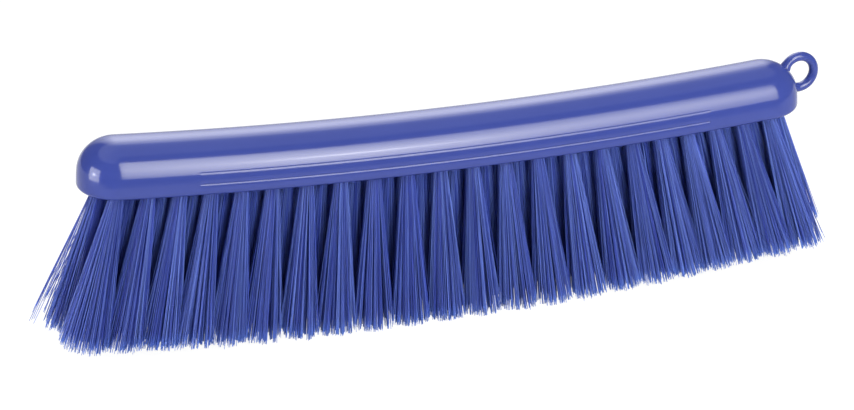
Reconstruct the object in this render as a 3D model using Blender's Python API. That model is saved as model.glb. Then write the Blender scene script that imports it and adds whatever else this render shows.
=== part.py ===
"""A curved flour brush: a one piece moulded block with a hanging ring, and fanned tufts of bristle.

The tufts are set in three staggered rows of blind holes. Each one is a bundle folded over a flat
steel anchor that grips the wall of its hole. X runs along the brush towards the ring, Z is up, and
the brush stands on the flat cut of its bristle tips at Z = 0. All sizes are in metres.
"""

import math
import random

import bmesh
import bpy
from mathutils import Vector

# Block: a D section swept along an arc whose ends curl up, with round ends
BLOCK_LENGTH = 0.330
BLOCK_WIDTH = 0.033
BLOCK_HEIGHT = 0.0224
SIDE_HEIGHT = 0.0075
LOWER_FILLET = 0.0024
BEND_RADIUS = 2.06

# Two fine V grooves along each side, the lower one this far above the underside
GROOVE_LENGTH = 0.232
GROOVE_BASE = 0.0054
GROOVE_SPACING = 0.0050
GROOVE_WIDTH = 0.0010
GROOVE_DEPTH = 0.0003

# Hanging ring, an oval section turned round a hole that runs across the brush
RING_RADIUS = 0.0074
RING_THICKNESS = 0.0034
RING_WIDTH = 0.0042
RING_REACH = 0.0024
RING_RISE = 0.0140

# Tuft holes: two outer rows, and a middle row set half a step along
OUTER_TUFTS = 22
CLOSE_STEPS = 5
CLOSE_SHARE = 0.89
END_MARGIN = 0.0165
ROW_SPACING = 0.0055
HOLE_RADIUS = 0.0029
HOLE_DEPTH = 0.012
DRILL_POINT = 0.001
HOLE_WALL = 0.0007

# Bristles: their trim, on an arc below the block, the fan along the brush and the splay of the outer rows
BRISTLE_TRIM = 0.068
TRIM_RADIUS = 1.54
FLOOR_CUT = 0.0005
END_LEAN = math.radians(16.0)
ROW_LEAN = math.radians(10.5)
TIP_HALF_WIDTH = 0.007
RAGGED_TIPS = 0.00045
RAGGED_SEED = 7
STRANDS_PER_TUFT = 6
STRAND_SPACE = 0.0001
STRAND_SWELL = 1.8
TUFT_SPACE = 0.0003
ROOT_STAND_OUT = 0.0008

# Steel anchor, a flat wire set on edge across the fold of each bundle
ANCHOR_THICKNESS = 0.0005
ANCHOR_HEIGHT = 0.002
ANCHOR_UP = 0.0015

# Slice of the block that carries the middle row
SLICE_HEIGHT = 0.003

CLEARANCE = 0.0003

# How finely the round shapes are divided
STRAIGHT_STEPS = 22
END_STEPS = 10
FILLET_STEPS = 3
CROWN_STEPS = 7
HOLE_SIDES = 10
RING_STEPS = 24
RING_SIDES = 8
OVERRUN = 0.002

ACROSS = Vector((0.0, 1.0, 0.0))
UNDERSIDE_Z = BRISTLE_TRIM - FLOOR_CUT
ARC_CENTRE_Z = UNDERSIDE_Z + BEND_RADIUS
TRIM_CENTRE_Z = TRIM_RADIUS - FLOOR_CUT
STRAIGHT_HALF = (BLOCK_LENGTH - BLOCK_WIDTH) / 2
OUTER_ROW_END = BLOCK_LENGTH / 2 - END_MARGIN
# The root is a hexagon in a many sided hole, so it clears the flats of the hole
ROOT_RADIUS = HOLE_RADIUS * math.cos(math.pi / HOLE_SIDES) - CLEARANCE
# The holes of the outer rows come nearer to the middle as they go up, so the slice clears them at its top
HOLES_DRAW_IN = (SLICE_HEIGHT + CLEARANCE) * math.tan(ROW_LEAN)
SLICE_HALF_WIDTH = ROW_SPACING - HOLES_DRAW_IN - HOLE_RADIUS / math.cos(ROW_LEAN) - HOLE_WALL - CLEARANCE


def clear_scene():
    for obj in list(bpy.data.objects):
        bpy.data.objects.remove(obj, do_unlink=True)


def make_material(name, colour, roughness, metallic=0.0):
    material = bpy.data.materials.new(name)
    material.use_nodes = True
    shader = material.node_tree.nodes["Principled BSDF"]
    shader.inputs["Base Color"].default_value = (*colour, 1.0)
    shader.inputs["Roughness"].default_value = roughness
    shader.inputs["Metallic"].default_value = metallic
    material.diffuse_color = (*colour, 1.0)
    return material


def make_object(name, bm, materials, location=Vector()):
    """An object from a mesh in the part's own frame, with the object's origin at location."""
    bmesh.ops.recalc_face_normals(bm, faces=bm.faces)
    bmesh.ops.translate(bm, verts=bm.verts, vec=-location)
    mesh = bpy.data.meshes.new(name)
    bm.to_mesh(mesh)
    bm.free()
    for material in materials:
        mesh.materials.append(material)
    obj = bpy.data.objects.new(name, mesh)
    obj.location = location
    bpy.context.collection.objects.link(obj)
    return obj


def make_helper(obj):
    """A cutter or a shape that only a Boolean uses."""
    obj.hide_render = True
    obj.display_type = "WIRE"
    return obj


def add_boolean(obj, other, operation):
    modifier = obj.modifiers.new(f"{operation.lower()} {other.name}", "BOOLEAN")
    modifier.operation = operation
    modifier.object = other
    modifier.solver = "EXACT"


def shade_round(obj, angle):
    obj.data.shade_smooth()
    obj.data.set_sharp_from_angle(angle=angle)


def join_loops(bm, first, second, material_index=0):
    """Quads between two closed loops of as many corners."""
    count = len(first)
    for i in range(count):
        j = (i + 1) % count
        face = bm.faces.new((first[i], first[j], second[j], second[i]))
        face.material_index = material_index


def arc_frame(station):
    """The point of the underside's middle line at this arc length, with the directions along it and up."""
    turn = station / BEND_RADIUS
    point = Vector((BEND_RADIUS * math.sin(turn), 0.0, ARC_CENTRE_Z - BEND_RADIUS * math.cos(turn)))
    along = Vector((math.cos(turn), 0.0, math.sin(turn)))
    up = Vector((-math.sin(turn), 0.0, math.cos(turn)))
    return point, along, up


def on_block(station, across, height):
    point, _, up = arc_frame(station)
    return point + across * ACROSS + height * up


def block_profile():
    """Half the D section as (out, height) pairs, from the middle of the underside to the crown's top."""
    half = BLOCK_WIDTH / 2
    inner = half - LOWER_FILLET
    crown = BLOCK_HEIGHT - SIDE_HEIGHT
    profile = [(0.0, 0.0)]
    for step in range(FILLET_STEPS + 1):
        turn = math.pi / 2 * step / FILLET_STEPS
        profile.append((inner + LOWER_FILLET * math.sin(turn), LOWER_FILLET * (1 - math.cos(turn))))
    for step in range(CROWN_STEPS):
        turn = math.pi / 2 * step / CROWN_STEPS
        profile.append((half * math.cos(turn), SIDE_HEIGHT + crown * math.sin(turn)))
    profile.append((0.0, BLOCK_HEIGHT))
    return profile


def plan_path():
    """(spine index, station, heading) once round the block's plan, straight sides and half round ends."""
    path = []
    for step in range(END_STEPS):
        path.append((STRAIGHT_STEPS, STRAIGHT_HALF, -math.pi / 2 + math.pi * step / END_STEPS))
    for step in range(STRAIGHT_STEPS):
        station = STRAIGHT_HALF * (1 - 2 * step / STRAIGHT_STEPS)
        path.append((STRAIGHT_STEPS - step, station, math.pi / 2))
    for step in range(END_STEPS):
        path.append((0, -STRAIGHT_HALF, math.pi / 2 + math.pi * step / END_STEPS))
    for step in range(STRAIGHT_STEPS):
        station = STRAIGHT_HALF * (2 * step / STRAIGHT_STEPS - 1)
        path.append((step, station, -math.pi / 2))
    return path


def block_body():
    bm = bmesh.new()
    path = plan_path()
    loops = []
    for out, height in block_profile():
        if out == 0.0:
            spine = []
            for step in range(STRAIGHT_STEPS + 1):
                station = STRAIGHT_HALF * (2 * step / STRAIGHT_STEPS - 1)
                spine.append(bm.verts.new(on_block(station, 0.0, height)))
            loops.append([spine[index] for index, _, _ in path])
            continue
        loop = []
        for _, station, heading in path:
            point, along, up = arc_frame(station)
            outward = math.cos(heading) * along + math.sin(heading) * ACROSS
            loop.append(bm.verts.new(point + out * outward + height * up))
        loops.append(loop)
    for lower, upper in zip(loops, loops[1:]):
        for i in range(len(path)):
            j = (i + 1) % len(path)
            corners = []
            for vert in (lower[i], lower[j], upper[j], upper[i]):
                if vert not in corners:
                    corners.append(vert)
            bm.faces.new(corners)
    return bm


def ring_body():
    """The hanging ring, whose inner part runs into the end of the block."""
    bm = bmesh.new()
    centre = on_block(BLOCK_LENGTH / 2 + RING_REACH, 0.0, RING_RISE)
    loops = []
    for step in range(RING_STEPS):
        turn = 2 * math.pi * step / RING_STEPS
        outward = Vector((math.cos(turn), 0.0, math.sin(turn)))
        loop = []
        for side in range(RING_SIDES):
            angle = 2 * math.pi * side / RING_SIDES
            out = RING_RADIUS + RING_THICKNESS / 2 * math.cos(angle)
            loop.append(bm.verts.new(centre + out * outward + RING_WIDTH / 2 * math.sin(angle) * ACROSS))
        loops.append(loop)
    for i in range(RING_STEPS):
        join_loops(bm, loops[i], loops[(i + 1) % RING_STEPS])
    return bm


def arc_bar(bm, half_length, corners):
    """A closed bar that follows the block's arc, with these (across, height) corners of its section."""
    loops = []
    for step in range(STRAIGHT_STEPS + 1):
        station = half_length * (2 * step / STRAIGHT_STEPS - 1)
        loops.append([bm.verts.new(on_block(station, across, height)) for across, height in corners])
    for first, second in zip(loops, loops[1:]):
        join_loops(bm, first, second)
    bm.faces.new(loops[0])
    bm.faces.new(loops[-1])


def side_at(height):
    """Half the width of the block at this height above its underside, above the lower fillet."""
    rise = max(height - SIDE_HEIGHT, 0.0) / (BLOCK_HEIGHT - SIDE_HEIGHT)
    return BLOCK_WIDTH / 2 * math.sqrt(1 - rise**2)


def groove_cutter():
    """The V grooves of both sides. Each bar is twice as deep as its groove, to stand out of the wall."""
    bm = bmesh.new()
    for side in (-1, 1):
        for height in (GROOVE_BASE, GROOVE_BASE + GROOVE_SPACING):
            wall = side_at(height)
            corners = (
                (side * (wall - GROOVE_DEPTH), height),
                (side * (wall + GROOVE_DEPTH), height - GROOVE_WIDTH),
                (side * (wall + GROOVE_DEPTH), height + GROOVE_WIDTH),
            )
            arc_bar(bm, GROOVE_LENGTH / 2, corners)
    return bm


def box_corners(half_width, low, high):
    return ((-half_width, low), (half_width, low), (half_width, high), (-half_width, high))


def outer_stations():
    """Arc lengths of the outer rows' holes, which stand closer over the last steps at each end."""
    open_steps = OUTER_TUFTS - 1 - 2 * CLOSE_STEPS
    pitch = 2 * OUTER_ROW_END / (open_steps + 2 * CLOSE_STEPS * CLOSE_SHARE)
    close = [pitch * CLOSE_SHARE] * CLOSE_STEPS
    stations = [-OUTER_ROW_END]
    for gap in close + [pitch] * open_steps + close:
        stations.append(stations[-1] + gap)
    return stations


def middle_stations():
    """Arc lengths of the middle row's holes: between the outer ones, and one more past each end."""
    outer = outer_stations()
    between = [(a + b) / 2 for a, b in zip(outer, outer[1:])]
    half_step = (outer[1] - outer[0]) / 2
    return [outer[0] - half_step] + between + [outer[-1] + half_step]


def hole_frame(station, row):
    """Mouth of a hole, the way its tuft points, and the directions along and across it."""
    point, _, _ = arc_frame(station)
    mouth = point + row * ROW_SPACING * ACROSS
    lean = END_LEAN * station / OUTER_ROW_END
    splay = ROW_LEAN * row
    out = Vector((
        math.sin(lean) * math.cos(splay),
        math.sin(splay),
        -math.cos(lean) * math.cos(splay),
    ))
    along = out.cross(ACROSS).normalized()
    return mouth, out, along, along.cross(out)


def all_holes():
    holes = [(station, row) for row in (-1, 1) for station in outer_stations()]
    return holes + [(station, 0) for station in middle_stations()]


def hole_cutter():
    """Blind round holes with drill points, each along the lean of its own tuft."""
    bm = bmesh.new()
    for station, row in all_holes():
        mouth, out, along, across = hole_frame(station, row)
        loops = []
        for reach in (OVERRUN, -(HOLE_DEPTH - DRILL_POINT)):
            loop = []
            for side in range(HOLE_SIDES):
                angle = 2 * math.pi * side / HOLE_SIDES
                rim = HOLE_RADIUS * (math.cos(angle) * along + math.sin(angle) * across)
                loop.append(bm.verts.new(mouth + reach * out + rim))
            loops.append(loop)
        point = bm.verts.new(mouth - HOLE_DEPTH * out)
        join_loops(bm, loops[0], loops[1])
        bm.faces.new(loops[0])
        for i in range(HOLE_SIDES):
            bm.faces.new((loops[1][i], loops[1][(i + 1) % HOLE_SIDES], point))
    return bm


def slice_cutter():
    """Channel in the underside for the slice that carries the middle row."""
    bm = bmesh.new()
    half_length = middle_stations()[-1] + CLEARANCE
    arc_bar(bm, half_length, box_corners(SLICE_HALF_WIDTH + CLEARANCE, -OVERRUN, SLICE_HEIGHT + CLEARANCE))
    return bm


def reach_trim(start, way):
    """Where a line leaves the bristles' trim, an arc that curls up a little faster than the block."""
    x, z = start.x, start.z - TRIM_CENTRE_Z
    square = way.x**2 + way.z**2
    slope = x * way.x + z * way.z
    inside = TRIM_RADIUS**2 - x**2 - z**2
    return start + way * (math.sqrt(slope**2 + square * inside) - slope) / square


def at_height(start, way, height):
    """Where a line comes down to this height."""
    return start + way * ((height - start.z) / way.z)


def add_strand(bm, base, corners, way, ragged):
    """One three sided strand, from its corners on the root's end plane to its tip. Returns its root loop."""
    centre = (corners[0] + corners[1] + corners[2]) / 3
    inset = 1 - STRAND_SPACE * 2 * math.sqrt(3) / (corners[1] - corners[2]).length
    tip_height = max(reach_trim(base + centre, way).z + ragged, 0.0)
    root_loop, tip_loop = [], []
    for corner in corners:
        offset = (corner - centre) * inset
        start = base + centre + offset
        root_loop.append(bm.verts.new(start))
        tip_loop.append(bm.verts.new(at_height(start, way + offset * (STRAND_SWELL - 1), tip_height)))
    join_loops(bm, root_loop, tip_loop)
    bm.faces.new(tip_loop)
    return root_loop


def add_anchor_end(bm, corners, base, side, along, across, out):
    """One end of the flat steel anchor, standing out of the flat of the root between these four corners."""
    flat = ROOT_RADIUS * math.cos(math.pi / STRANDS_PER_TUFT)
    loops = []
    for reach in (flat, ROOT_RADIUS):
        loop = []
        for thick, deep in ((1, 0), (-1, 0), (-1, 1), (1, 1)):
            place = side * (thick * ANCHOR_THICKNESS / 2 * along + reach * across)
            loop.append(bm.verts.new(base + place + (ANCHOR_UP + deep * ANCHOR_HEIGHT) * out))
        loops.append(loop)
    join_loops(bm, corners, loops[0])
    join_loops(bm, loops[0], loops[1], 1)
    bm.faces.new(loops[1]).material_index = 1


def add_tuft(bm, station, row, spacing, ragged):
    """A bundle folded over its anchor: a root that fills the hole, and the strands that fan out of it."""
    mouth, out, along, across = hole_frame(station, row)
    deep_end = mouth - (HOLE_DEPTH - DRILL_POINT - CLEARANCE) * out
    strand_base = mouth + ROOT_STAND_OUT * out

    # How far the tips reach along and across the brush, up to the room between the neighbouring tufts
    fanned = 1 + BRISTLE_TRIM * END_LEAN / OUTER_ROW_END
    row_gap = ROW_SPACING + BRISTLE_TRIM * math.sin(ROW_LEAN)
    reach_along = spacing * fanned / 2 - TUFT_SPACE
    reach_across = min(TIP_HALF_WIDTH, row_gap / 2)
    flare_along = 2 * reach_along / ROOT_RADIUS - STRAND_SWELL
    flare_across = math.sqrt(3) * reach_across / ROOT_RADIUS - STRAND_SWELL / 2

    rim = []
    for side in range(STRANDS_PER_TUFT):
        angle = 2 * math.pi * side / STRANDS_PER_TUFT
        rim.append(ROOT_RADIUS * (math.cos(angle) * along + math.sin(angle) * across))
    deep_loop = [bm.verts.new(deep_end + place) for place in rim]
    end_loop = [bm.verts.new(strand_base + place) for place in rim]
    middle = bm.verts.new(strand_base)
    bm.faces.new(deep_loop)
    for i in range(STRANDS_PER_TUFT):
        j = (i + 1) % STRANDS_PER_TUFT
        flat = (deep_loop[i], deep_loop[j], end_loop[j], end_loop[i])
        centre = (rim[i] + rim[j]) / 3
        if abs(centre.dot(along)) < abs(centre.dot(across)) / 2:
            side = 1 if centre.dot(across) > 0 else -1
            add_anchor_end(bm, flat, deep_end, side, along, across, out)
        else:
            bm.faces.new(flat)
        spread = flare_along * centre.dot(along) * along + flare_across * centre.dot(across) * across
        way = (BRISTLE_TRIM - ROOT_STAND_OUT) * out + spread - centre
        corners = (Vector(), rim[i], rim[j])
        root_loop = add_strand(bm, strand_base, corners, way, ragged.uniform(-RAGGED_TIPS, RAGGED_TIPS))
        join_loops(bm, (middle, end_loop[i], end_loop[j]), root_loop)


def spacings(stations):
    """The room along the row that each tuft has, from its nearer neighbour."""
    gaps = [b - a for a, b in zip(stations, stations[1:])]
    return [min(before, after) for before, after in zip(gaps[:1] + gaps, gaps + gaps[-1:])]


def build_block(material):
    block = make_object("block", block_body(), [material])
    add_boolean(block, make_helper(make_object("ring_shape", ring_body(), [material])), "UNION")
    for name, cutter in (("slice", slice_cutter()), ("groove", groove_cutter()), ("hole", hole_cutter())):
        add_boolean(block, make_helper(make_object(f"{name}_cutter", cutter, [])), "DIFFERENCE")
    shade_round(block, math.radians(30))


def build_outer_row(name, row, materials, ragged):
    """One named tuft for each hole of an outer row."""
    stations = outer_stations()
    for number, (station, spacing) in enumerate(zip(stations, spacings(stations)), start=1):
        bm = bmesh.new()
        add_tuft(bm, station, row, spacing, ragged)
        mouth, _, _, _ = hole_frame(station, row)
        make_object(f"{name}_{number:02d}", bm, materials, mouth)


def build_middle_row(block_material, tuft_materials, ragged):
    """The middle row's tufts, joined by the slice of the block that carries them."""
    stations = middle_stations()
    slice_bm = bmesh.new()
    arc_bar(slice_bm, stations[-1], box_corners(SLICE_HALF_WIDTH, 0.0, SLICE_HEIGHT))
    row = make_object("middle_row", slice_bm, [block_material])
    bm = bmesh.new()
    for station, spacing in zip(stations, spacings(stations)):
        add_tuft(bm, station, 0, spacing, ragged)
    tufts = make_helper(make_object("middle_tufts", bm, tuft_materials))
    add_boolean(row, tufts, "UNION")


def main():
    clear_scene()
    block_material = make_material("moulded_plastic", (0.043, 0.066, 0.31), 0.14)
    bristle_material = make_material("bristle", (0.058, 0.108, 0.48), 0.42)
    steel = make_material("anchor_steel", (0.62, 0.62, 0.60), 0.35, 1.0)
    tuft_materials = [bristle_material, steel]
    ragged = random.Random(RAGGED_SEED)
    build_block(block_material)
    build_outer_row("tuft_front", -1, tuft_materials, ragged)
    build_outer_row("tuft_back", 1, tuft_materials, ragged)
    build_middle_row(block_material, tuft_materials, ragged)


main()
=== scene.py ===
"""The look of the curved flour brush: its moulded block, its fanned tufts, and the studio round them."""

import math

import bmesh
import bpy
import numpy as np
from mathutils import Matrix, Vector


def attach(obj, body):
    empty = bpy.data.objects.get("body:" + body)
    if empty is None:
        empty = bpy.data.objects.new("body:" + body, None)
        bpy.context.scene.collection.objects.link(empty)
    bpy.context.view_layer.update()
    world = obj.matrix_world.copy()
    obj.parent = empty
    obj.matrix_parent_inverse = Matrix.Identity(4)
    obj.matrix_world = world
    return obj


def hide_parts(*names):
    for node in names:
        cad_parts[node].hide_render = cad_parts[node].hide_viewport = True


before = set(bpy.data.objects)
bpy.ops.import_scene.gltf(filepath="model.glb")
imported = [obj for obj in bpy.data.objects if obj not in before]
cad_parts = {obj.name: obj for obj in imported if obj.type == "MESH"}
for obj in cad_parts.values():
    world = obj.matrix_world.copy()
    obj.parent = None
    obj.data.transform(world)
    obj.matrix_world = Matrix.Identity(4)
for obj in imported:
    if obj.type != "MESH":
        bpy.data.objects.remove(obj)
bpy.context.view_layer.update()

MM = 0.001

# Block: a D section swept along an arc whose ends curl up, with round ends
BLOCK_LENGTH = 330 * MM
BLOCK_WIDTH = 33 * MM
BLOCK_HEIGHT = 22.4 * MM
SIDE_HEIGHT = 7.5 * MM
LOWER_FILLET = 2.4 * MM
BEND_RADIUS = 2060 * MM
WALL_LEAN = math.radians(3.5)
WALL_LEAN_HEIGHT = 7.0 * MM
WALL_LEAN_SPAN = 1.3 * MM

# Two fine grooves along each side
GROOVE_LENGTH = 232 * MM
GROOVE_HEIGHTS = (5.4 * MM, 10.4 * MM)
GROOVE_HALF_WIDTH = 0.50 * MM
GROOVE_DEPTHS = (0.28 * MM, 0.17 * MM)
GROOVE_END = 1.5 * MM
GROOVE_END_SHARES = (0, 0.1, 0.3, 0.6, 1.0)
GROOVE_ROOM = 1.4 * GROOVE_HALF_WIDTH

# Hanging ring, which swells at the two roots where it grows out of the block
RING_RADIUS = 7.5 * MM
RING_THICKNESS = 4.2 * MM
RING_WIDTH = 4.5 * MM
RING_REACH = 2.5 * MM
RING_RISE = 13.8 * MM
RING_ROOTS = (math.radians(162), math.radians(246))
RING_ROOT_SPAN = math.radians(15)
RING_ROOT_SWELL = 0.22

# Tuft holes: two outer rows, and a middle row set half a step along
OUTER_TUFTS = 22
CLOSE_STEPS = 5
CLOSE_SHARE = 0.89
END_MARGIN = 16.5 * MM
ROW_SPACING = 5.5 * MM
HOLE_RADIUS = 2.9 * MM
HOLE_DEPTH = 12 * MM
OVERRUN = 2 * MM

# Bristles: their trim on an arc below the block, and how the tufts lean
BRISTLE_TRIM = 68.0 * MM
TRIM_RADIUS = 1540 * MM
FLOOR_CUT = 0.5 * MM
END_LEAN = math.radians(16.0)
ROW_LEAN = math.radians(10.5)

# Filaments of a tuft, and the bundle that they make in the hole
FILAMENTS = 330
FILAMENT_RADIUS = 0.155 * MM
FILAMENT_SIDES = 3
FILAMENT_STEPS = (0.0, 0.22, 0.46, 0.70, 0.90, 0.955, 1.0)
TIP_TAPER = 0.85
BUNDLE_RADIUS = 2.72 * MM
BUNDLE_NOISE = 0.02
INSIDE_HOLE = 5 * MM
BOW = 0.12 * MM
SWING = 0.05 * MM
BRISTLE_SEED = 11

# Tips: how far they fan out, draw together in clumps, wander and stray
TIP_ALONG = 9.3 * MM
TIP_ACROSS = 7.0 * MM
TIP_INWARDS = 1.3
TIP_OVERSHOOT = 0.22
TIP_WANDER = 0.035
CLUMP_TRIES = 170
CLUMPS = 90
CLUMP_PULL = 0.58
STRAY_SHARE = 0.05
STRAY_WANDER = 6.0
STRAY_BOW = 2.5

# Trim: rounded off at both ends, raised at the ring's end, notched between tufts and a little ragged
END_ROUNDING = 3.5 * MM
END_ROUNDING_FROM = 166 * MM
END_ROUNDING_SPAN = 15 * MM
RING_END_RISE = 1.5 * MM
RING_END_FROM = 140 * MM
NOTCH = 3.2 * MM
NOTCH_SPREAD = 1.4
NOTCH_FROM = 0.72
RAGGED_TIPS = 0.20 * MM
RAGGED_CLUMPS = 0.25 * MM
SHORT_SHARE = 0.03
SHORT_BY_MM = (0.4, 2.0)
FLOOR_GAP = 0.02 * MM
TIP_RIM_DROP = 0.3 * FILAMENT_RADIUS

# Left end: the tufts of each row fan further, and those of the middle and back rows have long wisps
END_FANS = {-1: 5.0 * MM, 0: 2.5 * MM, 1: 2.5 * MM}
WISPS = 20
WISP_REACH_MM = (9, 17)
WISP_SHORTER_MM = 14

# Tones from 0, dark, to 1, light, and how pale the tips are
TONE = 0.47
TONE_SPREAD = 0.34
TONE_CLUMPS = 0.20
# Painted light: the tufts' tone drifts darker towards the left end and lighter towards the right, standing
# in for how the lamps light them along the brush
PAINTED_LIGHT_DRIFT = 0.10
PALE_TIPS = (0.6, 1.0)
PALE_BEFORE_TIP = 0.35

# Colours
PLASTIC_DARK = (0.0322, 0.05, 0.252)
PLASTIC_LIGHT = (0.0366, 0.0566, 0.274)
BRISTLE_DARK = (0.025, 0.0515, 0.388)
BRISTLE_LIGHT = (0.109, 0.178, 0.608)
BRISTLE_TIP = (0.125, 0.265, 0.860)
WHITE = (1, 1, 1)
FLOOR_GREY = (0.71, 0.71, 0.71)
FLOOR_GLOW = 1.17
FLOOR_GLOW_SHARE = 0.8
WORLD_DIM = (0.23, 0.23, 0.25)
WORLD_BRIGHT = (1.02, 1.07, 1.20)

# Map of a tuft: each filament has a cell, whose first share is the stretch inside the hole
MAP_MARGIN = 0.08
MAP_INSIDE_HOLE = 0.06
MAP_CAP_ACROSS = (0.6, 0.4, 0.2)
MAP_TIP_CAP = (0.90, 0.91)
MAP_INNER_CAP = (0.09, 0.10)

# Camera
LENS = 89.634
CAMERA_FORWARD = Vector((0.2752, 0.8679, -0.4135))

# How finely the round shapes are divided
UNDERSIDE_STEPS = 6
FILLET_STEPS = 10
CROWN_STEPS = 24
GROOVE_STEPS = 6
STRAIGHT_STEPS = 150
END_STEPS = 48
RING_STEPS = 96
RING_SIDES = 28
HOLE_SIDES = 28
SHARP_ANGLE = math.radians(38)

ACROSS = Vector((0.0, 1.0, 0.0))
HALF_WIDTH = BLOCK_WIDTH / 2
NO_WIDTH = 1e-9
CROWN_HEIGHT = BLOCK_HEIGHT - SIDE_HEIGHT
UNDERSIDE_Z = BRISTLE_TRIM - FLOOR_CUT
ARC_CENTRE_Z = UNDERSIDE_Z + BEND_RADIUS
TRIM_CENTRE_Z = TRIM_RADIUS - FLOOR_CUT
STRAIGHT_HALF = (BLOCK_LENGTH - BLOCK_WIDTH) / 2
OUTER_ROW_END = BLOCK_LENGTH / 2 - END_MARGIN
CAMERA_PLACE = Vector((-0.2700, -0.8148, 0.3664 + UNDERSIDE_Z))

# Sockets of a Mix node: its share, its first and second value, and its result
MIX_SOCKETS = {"FLOAT": (0, 2, 3), "RGBA": (0, 6, 7)}
MIX_RESULTS = {"FLOAT": 0, "RGBA": 2}


def link_object(name, data):
    obj = bpy.data.objects.new(name, data)
    bpy.context.scene.collection.objects.link(obj)
    return obj


def mesh_object(name, bm, material):
    mesh = bpy.data.meshes.new(name)
    bm.to_mesh(mesh)
    bm.free()
    mesh.materials.append(material)
    return link_object(name, mesh)


def cut_or_join(obj, other, operation):
    """Applies a Boolean to the object's own mesh and removes the other object."""
    modifier = obj.modifiers.new(operation.lower(), "BOOLEAN")
    modifier.operation = operation
    modifier.object = other
    modifier.solver = "EXACT"
    graph = bpy.context.evaluated_depsgraph_get()
    mesh = bpy.data.meshes.new_from_object(obj.evaluated_get(graph))
    obj.modifiers.clear()
    obj.data = mesh
    bpy.data.objects.remove(other, do_unlink=True)


def join_loops(bm, lower, upper):
    """Faces between two closed loops, which are triangles where neighbours are the same corner."""
    for i in range(len(lower)):
        j = (i + 1) % len(lower)
        corners = []
        for vert in (lower[i], lower[j], upper[j], upper[i]):
            if vert not in corners:
                corners.append(vert)
        bm.faces.new(corners)


def arc_frame(station):
    """The point of the underside's middle line at this arc length, with the directions along it and up."""
    turn = station / BEND_RADIUS
    point = Vector((BEND_RADIUS * math.sin(turn), 0.0, ARC_CENTRE_Z - BEND_RADIUS * math.cos(turn)))
    along = Vector((math.cos(turn), 0.0, math.sin(turn)))
    up = Vector((-math.sin(turn), 0.0, math.cos(turn)))
    return point, along, up


def outer_stations():
    """Arc lengths of the outer rows' holes, which stand closer over the last steps at each end."""
    open_steps = OUTER_TUFTS - 1 - 2 * CLOSE_STEPS
    pitch = 2 * OUTER_ROW_END / (open_steps + 2 * CLOSE_STEPS * CLOSE_SHARE)
    close = [pitch * CLOSE_SHARE] * CLOSE_STEPS
    stations = [-OUTER_ROW_END]
    for gap in close + [pitch] * open_steps + close:
        stations.append(stations[-1] + gap)
    return stations


def middle_stations():
    """Arc lengths of the middle row's holes: between the outer ones, and one more past each end."""
    outer = outer_stations()
    between = [(a + b) / 2 for a, b in zip(outer, outer[1:])]
    half_step = (outer[1] - outer[0]) / 2
    return [outer[0] - half_step] + between + [outer[-1] + half_step]


def hole_frame(station, row):
    """Mouth of a hole, the way its tuft points, and the directions along and across it."""
    point, _, _ = arc_frame(station)
    mouth = point + row * ROW_SPACING * ACROSS
    lean = END_LEAN * station / OUTER_ROW_END
    splay = ROW_LEAN * row
    out = Vector((
        math.sin(lean) * math.cos(splay),
        math.sin(splay),
        -math.cos(lean) * math.cos(splay),
    ))
    along = out.cross(ACROSS).normalized()
    return mouth, out, along, along.cross(out)


def wall_leans_in(height):
    """How far the side has come in at this height, because it leans in a little below the crown."""
    rise = math.erf((height - WALL_LEAN_HEIGHT) / WALL_LEAN_SPAN) + 1
    return math.tan(WALL_LEAN) * WALL_LEAN_SPAN * math.sqrt(math.pi) / 2 * rise


def side_out(height):
    """Half the block's width at this height, above the lower fillet."""
    return HALF_WIDTH * math.sqrt(1 - (max(height - SIDE_HEIGHT, 0.0) / CROWN_HEIGHT) ** 2)


def side_normal(out, height):
    """The way out of the side at this point of the section, as (out, height), above the lower fillet."""
    if height > SIDE_HEIGHT:
        return Vector((out / HALF_WIDTH**2, (height - SIDE_HEIGHT) / CROWN_HEIGHT**2)).normalized()
    return Vector((1.0, 0.0))


def near_groove(height):
    return any(abs(height - groove) < GROOVE_ROOM for groove in GROOVE_HEIGHTS)


def block_profile():
    """Half the D section as (out, height, groove depth), from under the middle up to the crown."""
    inner = HALF_WIDTH - LOWER_FILLET
    underside = [(inner * step / UNDERSIDE_STEPS, 0.0, 0.0) for step in range(UNDERSIDE_STEPS)]
    plain = []
    for step in range(FILLET_STEPS + 1):
        turn = math.pi / 2 * step / FILLET_STEPS
        plain.append((inner + LOWER_FILLET * math.sin(turn), LOWER_FILLET * (1 - math.cos(turn))))
    for step in range(CROWN_STEPS + 1):
        turn = math.pi / 2 * step / CROWN_STEPS
        plain.append((HALF_WIDTH * math.cos(turn), SIDE_HEIGHT + CROWN_HEIGHT * math.sin(turn)))
    side = [(out, height, 0.0) for out, height in plain if not near_groove(height)]
    for groove, depth in zip(GROOVE_HEIGHTS, GROOVE_DEPTHS):
        for step in range(-GROOVE_STEPS, GROOVE_STEPS + 1):
            height = groove + GROOVE_HALF_WIDTH * step / GROOVE_STEPS
            sink = depth * (1 + math.cos(math.pi * step / GROOVE_STEPS)) / 2
            side.append((side_out(height), height, sink))
    return underside + sorted(side, key=lambda point: point[1])


def groove_share(station):
    """How much of its depth a groove has here: all along it, and running out at its two ends."""
    inside = (GROOVE_LENGTH / 2 - abs(station)) / GROOVE_END
    if inside <= 0:
        return 0.0
    return math.sqrt(1 - (1 - min(inside, 1.0)) ** 2)


def side_stations():
    """Stations along the straight part of the block, close together at the grooves' ends."""
    steps = range(STRAIGHT_STEPS + 1)
    stations = {round(STRAIGHT_HALF * (2 * step / STRAIGHT_STEPS - 1), 7) for step in steps}
    for share in GROOVE_END_SHARES:
        station = round(GROOVE_LENGTH / 2 - GROOVE_END * share, 7)
        stations |= {-station, station}
    return sorted(stations)


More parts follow.
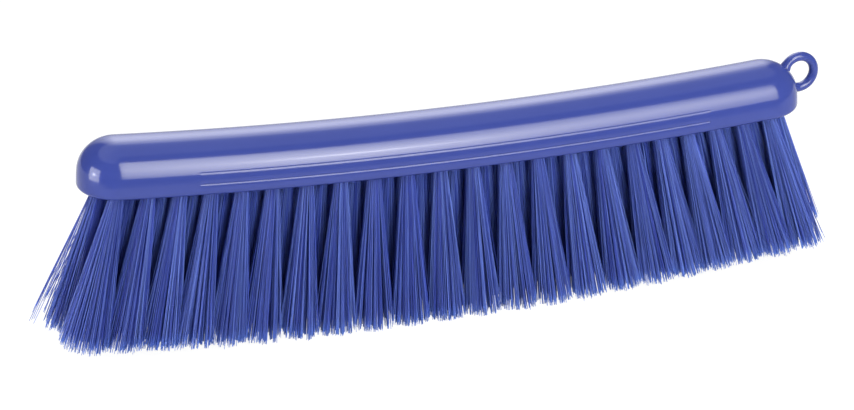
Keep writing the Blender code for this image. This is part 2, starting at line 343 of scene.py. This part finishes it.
def plan_path(stations):
    """(spine index, station, heading) once round the block's plan, straight sides and half round ends."""
    last = len(stations) - 1
    turns = [math.pi * step / END_STEPS for step in range(END_STEPS)]
    path = [(last, STRAIGHT_HALF, turn - math.pi / 2) for turn in turns]
    path += [(i, stations[i], math.pi / 2) for i in range(last, 0, -1)]
    path += [(0, -STRAIGHT_HALF, turn + math.pi / 2) for turn in turns]
    path += [(i, stations[i], -math.pi / 2) for i in range(last)]
    return path


def block_body():
    bm = bmesh.new()
    stations = side_stations()
    path = plan_path(stations)
    loops = []
    for out, height, groove in block_profile():
        if out < NO_WIDTH:
            spine = []
            for station in stations:
                point, _, up = arc_frame(station)
                spine.append(bm.verts.new(point + height * up))
            loops.append([spine[index] for index, _, _ in path])
            continue
        leaned = out - wall_leans_in(height) * out / HALF_WIDTH
        normal = side_normal(out, height)
        loop = []
        for _, station, heading in path:
            point, along, up = arc_frame(station)
            outward = math.cos(heading) * along + math.sin(heading) * ACROSS
            sink = groove * groove_share(station)
            place = point + (leaned - sink * normal.x) * outward + (height - sink * normal.y) * up
            loop.append(bm.verts.new(place))
        loops.append(loop)
    for lower, upper in zip(loops, loops[1:]):
        join_loops(bm, lower, upper)
    bmesh.ops.recalc_face_normals(bm, faces=bm.faces)
    return bm


def ring_swell(turn):
    """How many times thicker the ring is at this turn, because of its roots."""
    near = sum(math.exp(-(((turn - root) / RING_ROOT_SPAN) ** 2)) for root in RING_ROOTS)
    return 1 + RING_ROOT_SWELL * near


def ring_body():
    bm = bmesh.new()
    point, _, up = arc_frame(BLOCK_LENGTH / 2 + RING_REACH)
    centre = point + RING_RISE * up
    loops = []
    for step in range(RING_STEPS):
        turn = 2 * math.pi * step / RING_STEPS
        outward = Vector((math.cos(turn), 0.0, math.sin(turn)))
        swell = ring_swell(turn)
        loop = []
        for side in range(RING_SIDES):
            angle = 2 * math.pi * side / RING_SIDES
            out = RING_RADIUS + swell * RING_THICKNESS / 2 * math.cos(angle)
            wide = swell * RING_WIDTH / 2 * math.sin(angle)
            loop.append(bm.verts.new(centre + out * outward + wide * ACROSS))
        loops.append(loop)
    for i in range(RING_STEPS):
        join_loops(bm, loops[i], loops[(i + 1) % RING_STEPS])
    bmesh.ops.recalc_face_normals(bm, faces=bm.faces)
    return bm


def hole_cutter():
    """Blind round holes, each along the lean of its own tuft."""
    bm = bmesh.new()
    holes = [(station, row) for row in (-1, 1) for station in outer_stations()]
    holes += [(station, 0) for station in middle_stations()]
    for station, row in holes:
        mouth, out, along, across = hole_frame(station, row)
        loops = []
        for reach in (OVERRUN, -HOLE_DEPTH):
            loop = []
            for side in range(HOLE_SIDES):
                angle = 2 * math.pi * side / HOLE_SIDES
                rim = HOLE_RADIUS * (math.cos(angle) * along + math.sin(angle) * across)
                loop.append(bm.verts.new(mouth + reach * out + rim))
            loops.append(loop)
        join_loops(bm, loops[0], loops[1])
        bm.faces.new(loops[0])
        bm.faces.new(loops[1])
    bmesh.ops.recalc_face_normals(bm, faces=bm.faces)
    return bm


def set_or_link(links, socket, value):
    """Sets a socket to a number or a colour, or links it to another node's output."""
    if isinstance(value, tuple):
        socket.default_value = (*value, 1)
    elif isinstance(value, (int, float)):
        socket.default_value = value
    else:
        links.new(value, socket)


def mix_values(nodes, links, kind, share, first, second):
    """Mixes two numbers, kind FLOAT, or two colours, kind RGBA."""
    mix = nodes.new("ShaderNodeMix")
    mix.data_type = kind
    for index, value in zip(MIX_SOCKETS[kind], (share, first, second)):
        set_or_link(links, mix.inputs[index], value)
    return mix.outputs[MIX_RESULTS[kind]]


def do_math(nodes, links, operation, *values):
    node = nodes.new("ShaderNodeMath")
    node.operation = operation
    for socket, value in zip(node.inputs, values):
        set_or_link(links, socket, value)
    return node.outputs[0]


def map_range(nodes, links, value, start, end, low=0.0, high=1.0):
    node = nodes.new("ShaderNodeMapRange")
    node.inputs["From Min"].default_value = start
    node.inputs["From Max"].default_value = end
    node.inputs["To Min"].default_value = low
    node.inputs["To Max"].default_value = high
    links.new(value, node.inputs["Value"])
    return node.outputs["Result"]


def noise(nodes, links, place, scale, detail):
    texture = nodes.new("ShaderNodeTexNoise")
    texture.inputs["Scale"].default_value = scale
    texture.inputs["Detail"].default_value = detail
    links.new(place, texture.inputs["Vector"])
    return texture.outputs["Fac"]


def attribute(nodes, name):
    """What the mesh says under this name."""
    node = nodes.new("ShaderNodeAttribute")
    node.attribute_name = name
    return node.outputs["Fac"]


def split_axes(nodes, links, place):
    axes = nodes.new("ShaderNodeSeparateXYZ")
    links.new(place, axes.inputs[0])
    return axes.outputs


def brightness_ramp(nodes, links, coordinate, stops):
    """A ramp of brightness along a coordinate, from (place, share) stops."""
    ramp = nodes.new("ShaderNodeValToRGB")
    while len(ramp.color_ramp.elements) < len(stops):
        ramp.color_ramp.elements.new(0.5)
    for element, (place, share) in zip(ramp.color_ramp.elements, stops):
        element.position = place
        element.color = (share, share, share, 1)
    links.new(coordinate, ramp.inputs["Fac"])
    return ramp.outputs["Color"]


def new_material(name):
    material = bpy.data.materials.new(name)
    material.use_nodes = True
    nodes, links = material.node_tree.nodes, material.node_tree.links
    return material, nodes, links, nodes["Principled BSDF"]


def moulded_plastic():
    """Glossy violet blue plastic with the faint waviness and clouding of a moulding."""
    material, nodes, links, shader = new_material("moulded_plastic")
    place = nodes.new("ShaderNodeTexCoord").outputs["Object"]
    cloud = noise(nodes, links, place, scale=60, detail=3)
    colour = mix_values(nodes, links, "RGBA", cloud, PLASTIC_DARK, PLASTIC_LIGHT)
    links.new(colour, shader.inputs["Base Color"])
    fine = noise(nodes, links, place, scale=900, detail=4)
    roughness = map_range(nodes, links, fine, start=0.0, end=1.0, low=0.10, high=0.17)
    links.new(roughness, shader.inputs["Roughness"])
    wave = noise(nodes, links, place, scale=220, detail=2)
    bump = nodes.new("ShaderNodeBump")
    bump.inputs["Strength"].default_value = 0.10
    bump.inputs["Distance"].default_value = 0.02 * MM
    links.new(wave, bump.inputs["Height"])
    links.new(bump.outputs["Normal"], shader.inputs["Normal"])
    return material


def bristle_plastic():
    """Blue filament: each one has its own tone, with painted light in it that darkens the tufts towards
    the left end and lightens them towards the right, and it is a little paler at the trimmed tip.
    """
    material, nodes, links, shader = new_material("bristle")
    shader.inputs["Roughness"].default_value = 0.42
    colour = mix_values(nodes, links, "RGBA", attribute(nodes, "tone"), BRISTLE_DARK, BRISTLE_LIGHT)
    paler = mix_values(nodes, links, "RGBA", attribute(nodes, "tip"), colour, BRISTLE_TIP)
    links.new(paler, shader.inputs["Base Color"])
    return material


def reach_trim(start, way):
    """How far along each way the trim is, which is an arc below the block."""
    x, z = start[:, 0], start[:, 2] - TRIM_CENTRE_Z
    square = way[:, 0] ** 2 + way[:, 2] ** 2
    slope = x * way[:, 0] + z * way[:, 2]
    inside = TRIM_RADIUS**2 - x**2 - z**2
    return (np.sqrt(slope**2 + square * inside) - slope) / square


def bundle_disc(random):
    """Places of the filaments along and across their bundle, spread evenly over a disc of radius 1."""
    number = np.arange(FILAMENTS)
    spread = np.sqrt((number + 0.5) / FILAMENTS)
    angle = number * math.pi * (3 - math.sqrt(5)) + random.uniform(0, 2 * math.pi)
    disc = np.stack([spread * np.cos(angle), spread * np.sin(angle)], 1)
    return disc + random.normal(0, BUNDLE_NOISE, disc.shape)


def find_clumps(disc, random):
    """The places of the clumps, and the number of the one nearest to each filament."""
    clumps = random.uniform(-1, 1, (CLUMP_TRIES, 2))
    clumps = clumps[np.linalg.norm(clumps, axis=1) < 1.0][:CLUMPS]
    group = np.argmin(np.linalg.norm(disc[:, None] - clumps[None], axis=2), axis=1)
    return clumps, group


def fan_tips(disc, nearest, station, row, random):
    """Where the tips are along and across the brush, the disc fanned out, and which of them stray."""
    wander = random.normal(0, TIP_WANDER, disc.shape)
    strays = (random.random(FILAMENTS) < STRAY_SHARE) & (station < OUTER_ROW_END)
    wander[strays] *= STRAY_WANDER
    tip = disc + CLUMP_PULL * (nearest - disc) + wander
    reach = np.maximum(np.linalg.norm(tip, axis=1, keepdims=True), 1.0)
    tip *= (1 + TIP_OVERSHOOT * (1 - np.exp((1 - reach) / TIP_OVERSHOOT))) / reach
    tip *= np.array([TIP_ALONG, TIP_ACROSS])
    tip[row * tip[:, 1] <= 0, 1] *= TIP_INWARDS
    if station <= -OUTER_ROW_END:
        tip[:, 0] -= END_FANS[row] * np.clip(-disc[:, 0], 0, 1)
    return tip, strays


def trimmed_lengths(start, way, disc, row, group, clump_count, random):
    """How long each filament is from the mouth of the hole to its tip."""
    length = reach_trim(start, way)
    ragged = random.normal(0, RAGGED_TIPS, FILAMENTS)
    ragged += random.normal(0, RAGGED_CLUMPS, clump_count)[group]
    ragged -= (random.random(FILAMENTS) < SHORT_SHARE) * random.uniform(*SHORT_BY_MM, FILAMENTS) * MM
    if row != 0:
        border = np.clip((np.abs(disc[:, 0]) - NOTCH_FROM) / (1 - NOTCH_FROM), 0, 1)
        depth = random.uniform(0.0, NOTCH_SPREAD, 2)[(disc[:, 0] > 0).astype(int)]
        ragged -= NOTCH * depth * border
    tip_x = start[:, 0] + way[:, 0] * length
    past_end = (np.abs(tip_x) - END_ROUNDING_FROM) / END_ROUNDING_SPAN
    length = length + ragged - END_ROUNDING * np.clip(past_end, 0, 1) ** 2
    return length - RING_END_RISE * np.clip(tip_x / RING_END_FROM, 0, 1)


def filament_lines(start, way, length, strays, along, across, random):
    """Points along each filament, which bows and swings a little on its way."""
    steps = np.array(FILAMENT_STEPS)
    bow = random.normal(0, BOW, (FILAMENTS, 2))
    bow[strays] *= STRAY_BOW
    swing = random.normal(0, SWING, (FILAMENTS, 2))
    line = start[:, None] + way[:, None] * (length[:, None] * steps)[..., None]
    bend = bow[:, None] * np.sin(math.pi * steps)[None, :, None]
    bend = bend + swing[:, None] * np.sin(2 * math.pi * steps)[None, :, None]
    return line + bend[..., :1] * along + bend[..., 1:] * across


def filament_shades(group, clump_count, station, random):
    """The tone of each filament at each of its points, and how pale it is there."""
    tones = random.normal(TONE, TONE_SPREAD, FILAMENTS) + random.normal(0, TONE_CLUMPS, clump_count)[group]
    # Painted light: darker towards the left end of the brush, lighter towards the right
    tones += PAINTED_LIGHT_DRIFT * station / OUTER_ROW_END
    along_it = np.array([0] * (len(FILAMENT_STEPS) - 1) + [PALE_BEFORE_TIP, 1])
    tones = np.repeat(np.clip(tones, 0, 1)[:, None], len(along_it), axis=1)
    tips = random.uniform(*PALE_TIPS, FILAMENTS)[:, None] * along_it
    return {"tone": tones, "tip": tips}


def tuft_lines(station, row, random):
    """The filaments of a tuft as points (filament, point along it, xyz), with their shades."""
    mouth, out, along, across = (np.array(v) for v in hole_frame(station, row))
    disc = bundle_disc(random)
    clumps, group = find_clumps(disc, random)
    tip, strays = fan_tips(disc, clumps[group], station, row, random)
    has_wisps = row >= 0 and station <= -OUTER_ROW_END
    outermost = np.argsort(disc[:, 0])[:WISPS]
    if has_wisps:
        tip[outermost, 0] = -random.uniform(*WISP_REACH_MM, WISPS) * MM

    root = disc * BUNDLE_RADIUS
    start = mouth + root[:, :1] * along + root[:, 1:] * across
    aim = mouth + BRISTLE_TRIM * out + tip[:, :1] * along + tip[:, 1:] * across
    way = aim - start
    way /= np.linalg.norm(way, axis=1, keepdims=True)
    length = trimmed_lengths(start, way, disc, row, group, len(clumps), random)
    if has_wisps:
        length[outermost] -= random.uniform(0, WISP_SHORTER_MM, WISPS) * MM
    floor_reach = (start[:, 2] - FLOOR_GAP - TIP_RIM_DROP) / -way[:, 2]
    length = np.minimum(length, floor_reach)

    line = filament_lines(start, way, length, strays, along, across, random)
    inner = (start - INSIDE_HOLE * out)[:, None]
    shades = filament_shades(group, len(clumps), station, random)
    return np.concatenate([inner, line], 1), shades, along, across


def filament_faces(count, points):
    """Corners of the quads along each filament, and of the caps at its tip and at its inner end."""
    filament = np.arange(count)[:, None, None] * points * FILAMENT_SIDES
    ring = np.arange(points - 1)[None, :, None] * FILAMENT_SIDES
    side = np.arange(FILAMENT_SIDES)[None, None, :]
    following = (side + 1) % FILAMENT_SIDES
    lower = filament + ring
    upper = lower + FILAMENT_SIDES
    quads = np.stack([upper + side, upper + following, lower + following, lower + side], -1).reshape(-1, 4)
    first = np.arange(count)[:, None] * points * FILAMENT_SIDES
    corners = np.arange(FILAMENT_SIDES)
    tip_caps = first + (points - 1) * FILAMENT_SIDES + corners[::-1]
    inner_caps = first + corners
    return quads, tip_caps, inner_caps


def filament_map(count):
    """The map's corners in the order of the faces, with one cell of it for each filament."""
    cells = math.ceil(math.sqrt(count))
    cell = np.arange(count)
    cell_u, cell_v = (cell % cells) / cells, (cell // cells) / cells
    side = np.arange(FILAMENT_SIDES)[:, None]
    across_it = (side + np.array([0, 1, 1, 0])) / FILAMENT_SIDES
    along_it = np.concatenate([[0.0], MAP_INSIDE_HOLE + (1 - MAP_INSIDE_HOLE) * np.array(FILAMENT_STEPS)])
    lower, upper = along_it[:-1], along_it[1:]
    along_it = np.stack([upper, upper, lower, lower], -1)[:, None]
    inside = 1 - 2 * MAP_MARGIN
    u = cell_u[:, None, None, None] + (MAP_MARGIN + inside * across_it[None, None]) / cells
    v = cell_v[:, None, None, None] + (MAP_MARGIN + inside * along_it[None]) / cells
    quad_uv = np.stack(np.broadcast_arrays(u, v), -1).reshape(-1, 2)
    cap_u = cell_u[:, None] + np.array(MAP_CAP_ACROSS) / cells
    cap_uv = []
    for low, high in (MAP_TIP_CAP, MAP_INNER_CAP):
        cap_v = cell_v[:, None] + np.array([low, high, low]) / cells
        cap_uv.append(np.stack([cap_u, cap_v], -1).reshape(-1, 2))
    return np.concatenate([quad_uv] + cap_uv)


def tuft_piece(name, station, row, material, random):
    """The tuft of one hole: a thin three sided prism for each filament, closed at both ends."""
    centre, shades, along, across = tuft_lines(station, row, random)
    count, points = centre.shape[:2]
    radius = FILAMENT_RADIUS * np.array([1] * (points - 1) + [TIP_TAPER])
    twist = random.uniform(0, 2 * math.pi, count)
    angle = twist[:, None] + np.arange(FILAMENT_SIDES) * 2 * math.pi / FILAMENT_SIDES
    rim = np.cos(angle)[..., None] * along + np.sin(angle)[..., None] * across
    verts = (centre[:, :, None] + radius[None, :, None, None] * rim[:, None]).reshape(-1, 3)
    quads, tip_caps, inner_caps = filament_faces(count, points)
    corners = np.concatenate([quads.ravel(), tip_caps.ravel(), inner_caps.ravel()])
    sizes = np.concatenate([np.full(len(quads), 4), np.full(2 * count, FILAMENT_SIDES)])
    starts = np.concatenate([[0], np.cumsum(sizes)[:-1]])

    mesh = bpy.data.meshes.new(name)
    mesh.vertices.add(len(verts))
    mesh.vertices.foreach_set("co", verts.astype(np.float32).ravel())
    mesh.loops.add(len(corners))
    mesh.loops.foreach_set("vertex_index", corners.astype(np.int32))
    mesh.polygons.add(len(sizes))
    mesh.polygons.foreach_set("loop_start", starts.astype(np.int32))
    mesh.polygons.foreach_set("loop_total", sizes.astype(np.int32))
    mesh.update(calc_edges=True)
    mesh.validate()
    mesh.shade_smooth()
    for shade, values in shades.items():
        layer = mesh.attributes.new(shade, "FLOAT", "POINT")
        layer.data.foreach_set("value", np.repeat(values.ravel(), FILAMENT_SIDES).astype(np.float32))
    layer = mesh.uv_layers.new(name="OFBake")
    layer.data.foreach_set("uv", filament_map(count).astype(np.float32).ravel())
    mesh.materials.append(material)
    return link_object(name, mesh)


def add_block(material):
    block = mesh_object("brush_block", block_body(), material)
    cut_or_join(block, mesh_object("ring_shape", ring_body(), material), "UNION")
    cut_or_join(block, mesh_object("hole_cutter", hole_cutter(), material), "DIFFERENCE")
    block.data.shade_smooth()
    block.data.set_sharp_from_angle(angle=SHARP_ANGLE)
    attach(block, "root")
    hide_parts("block")


def add_tufts(material):
    random = np.random.default_rng(BRISTLE_SEED)
    for side, row in (("front", -1), ("back", 1)):
        for number, station in enumerate(outer_stations(), start=1):
            piece = tuft_piece(f"bristles_{side}_{number:02d}", station, row, material, random)
            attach(piece, "root")
            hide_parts(f"tuft_{side}_{number:02d}")
    for number, station in enumerate(middle_stations(), start=1):
        piece = tuft_piece(f"bristles_middle_{number:02d}", station, 0, material, random)
        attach(piece, "root")
        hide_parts("middle_row")


def add_camera():
    data = bpy.data.cameras.new("camera")
    data.sensor_width = 36
    data.lens = LENS
    camera = link_object("camera", data)
    forward = CAMERA_FORWARD.normalized()
    right = forward.cross(Vector((0, 0, 1))).normalized()
    turn = Matrix((right, right.cross(forward), -forward)).transposed()
    camera.matrix_world = Matrix.Translation(CAMERA_PLACE) @ turn.to_4x4()
    bpy.context.scene.camera = camera


def shade_face(data, across, upward, shear):
    """Ramps of brightness across and up a lamp's face, the upward one sheared towards one side."""
    flat = [(0.0, 1.0), (1.0, 1.0)]
    shear_centre = 0.35
    data.use_nodes = True
    nodes, links = data.node_tree.nodes, data.node_tree.links
    face = split_axes(nodes, links, nodes.new("ShaderNodeNewGeometry").outputs["Parametric"])
    sheared = do_math(nodes, links, "MULTIPLY_ADD", face["X"], -shear, face["Y"])
    centred = do_math(nodes, links, "ADD", sheared, shear * shear_centre)
    across_share = brightness_ramp(nodes, links, face["X"], across or flat)
    upward_share = brightness_ramp(nodes, links, centred, upward or flat)
    share = do_math(nodes, links, "MULTIPLY", across_share, upward_share)
    links.new(share, nodes["Emission"].inputs["Strength"])


def area_light(
    name, centre, aim, size, radiance, colour=WHITE, across=None, upward=None, roll=0.0, shear=0.0
):
    """A rectangular lamp whose face has this radiance, where 1 is white, times its ramps."""
    width, height = size
    data = bpy.data.lights.new(name, "AREA")
    data.shape = "RECTANGLE"
    data.size = width
    data.size_y = height
    data.energy = radiance * math.pi * width * height
    data.color = colour
    if across or upward:
        shade_face(data, across, upward, shear)
    light = link_object(name, data)
    light.location = centre
    light.rotation_euler = (Vector(aim) - Vector(centre)).to_track_quat("-Z", "Y").to_euler()
    light.rotation_euler.rotate_axis("Z", roll)
    light.visible_camera = False
    return light


def add_front_lights():
    """The tall softbox that the block's side mirrors, and the bright core low in it."""
    area_light(
        "front_softbox",
        centre=(0.36, -1.0, 0.855),
        aim=(0.36, 0.0, 0.855),
        size=(0.78, 1.65),
        radiance=11.2,
        colour=(1.0, 0.98, 0.87),
        across=[
            (0.0, 0.52), (0.06, 0.58), (0.28, 0.98), (0.43, 0.95),
            (0.58, 0.70), (0.79, 0.68), (0.98, 0.45), (1.0, 0.2),
        ],
        upward=[
            (0.0, 0.50), (0.09, 0.62), (0.19, 0.86), (0.30, 1.0), (0.40, 0.98),
            (0.53, 0.80), (0.70, 0.64), (0.84, 0.48), (0.858, 0.0),
        ],
        shear=0.16,
    )
    area_light(
        "front_core",
        centre=(0.25, -0.98, 0.555),
        aim=(0.25, 0.0, 0.555),
        size=(0.19, 0.09),
        radiance=12.0,
        across=[(0.0, 0.0), (0.3, 0.55), (0.5, 0.85), (0.7, 0.55), (1.0, 0.0)],
    )


def add_back_light():
    """The softbox that the crown mirrors."""
    area_light(
        "back_softbox",
        centre=(0.30, 1.0, 1.10),
        aim=(0.30, 0.0, 1.10),
        size=(1.4, 2.1),
        radiance=5.2,
        colour=(0.94, 0.945, 0.985),
        across=[(0.0, 0.0), (0.2, 0.62), (0.35, 0.93), (0.5, 0.98), (0.66, 1.07), (1.0, 0.10)],
        upward=[
            (0.0, 0.04), (0.18, 0.42), (0.30, 0.8), (0.44, 1.0),
            (0.60, 0.80), (0.72, 0.52), (0.9, 0.27), (1.0, 0.14),
        ],
        roll=math.radians(5),
    )


def add_left_lights():
    """The small lamp that the left end mirrors, its core, and a soft fill that it doesn't mirror."""
    aim = (-0.16, 0.0, 0.09)
    softbox = area_light(
        "left_softbox", centre=(-0.46, -0.09, 0.12), aim=aim, size=(0.20, 0.20), radiance=6.2
    )
    softbox.visible_diffuse = False
    core = area_light(
        "left_core", centre=(-0.45, -0.087, 0.12), aim=aim, size=(0.045, 0.045), radiance=14.0
    )
    core.visible_diffuse = False
    fill = area_light(
        "left_fill",
        centre=(-0.46, -0.09, 0.14),
        aim=aim,
        size=(0.20, 0.20),
        radiance=4.8,
        colour=(0.9, 0.95, 1.0),
    )
    fill.visible_glossy = False


def add_world():
    """Dim soft fill, brighter overhead towards the back left, and white where the camera sees it."""
    world = bpy.data.worlds.new("studio")
    bpy.context.scene.world = world
    world.use_nodes = True
    nodes, links = world.node_tree.nodes, world.node_tree.links
    place = nodes.new("ShaderNodeTexCoord").outputs["Generated"]
    overhead = map_range(nodes, links, split_axes(nodes, links, place)["Z"], start=0.78, end=0.815)
    behind = nodes.new("ShaderNodeVectorMath")
    behind.operation = "DOT_PRODUCT"
    behind.inputs[1].default_value = (-1, 1, 0)
    links.new(place, behind.inputs[0])
    towards_back = map_range(nodes, links, behind.outputs["Value"], start=-1.0, end=1.0)
    stops = [(0.0, 0.0), (0.225, 0.0), (0.265, 0.58), (0.45, 0.64), (0.65, 1.0)]
    panel = brightness_ramp(nodes, links, towards_back, stops)
    share = do_math(nodes, links, "MULTIPLY", overhead, panel)
    fill = mix_values(nodes, links, "RGBA", share, WORLD_DIM, WORLD_BRIGHT)
    seen = nodes.new("ShaderNodeLightPath").outputs["Is Camera Ray"]
    colour = mix_values(nodes, links, "RGBA", seen, fill, WHITE)
    links.new(colour, nodes["Background"].inputs["Color"])


def add_floor():
    """A pale floor that the camera sees as white, with a soft shadow under the brush, and which glows as a
    painted reflection where the brush mirrors it.
    """
    material, nodes, links, shader = new_material("floor")
    shader.inputs["Base Color"].default_value = (*FLOOR_GREY, 1)
    shader.inputs["Roughness"].default_value = 0.8
    path = nodes.new("ShaderNodeLightPath")
    seen, glossy = path.outputs["Is Camera Ray"], path.outputs["Is Glossy Ray"]

    # Painted reflection: for glossy rays the flat floor glows dim in front of the brush and bright behind
    # it, standing in for a table that ends in front of it and a white backdrop that rises behind it
    place = nodes.new("ShaderNodeNewGeometry").outputs["Position"]
    depth = map_range(nodes, links, split_axes(nodes, links, place)["Y"], start=-0.5, end=0.5)
    stops = [(0.0, 0.13), (0.244, 0.13), (0.257, 0.84), (0.5, 0.84), (0.66, 1.0)]
    painted_reflection = brightness_ramp(nodes, links, depth, stops)
    glow = nodes.new("ShaderNodeEmission")
    strength = mix_values(nodes, links, "FLOAT", glossy, FLOOR_GLOW, painted_reflection)
    links.new(strength, glow.inputs["Strength"])

    # The camera sees mostly the glow, and the floor seen in a mirror is all glow, the painted reflection
    mix = nodes.new("ShaderNodeMixShader")
    glow_share = do_math(nodes, links, "MULTIPLY_ADD", seen, FLOOR_GLOW_SHARE, glossy)
    links.new(glow_share, mix.inputs[0])
    links.new(shader.outputs[0], mix.inputs[1])
    links.new(glow.outputs[0], mix.inputs[2])
    links.new(mix.outputs[0], nodes["Material Output"].inputs["Surface"])

    bm = bmesh.new()
    bmesh.ops.create_grid(bm, x_segments=1, y_segments=1, size=4.0)
    floor = mesh_object("floor", bm, material)


def main():
    bpy.context.scene.view_settings.view_transform = "Standard"
    add_camera()
    add_world()
    add_front_lights()
    add_back_light()
    add_left_lights()
    add_floor()
    add_block(moulded_plastic())
    add_tufts(bristle_plastic())


main()
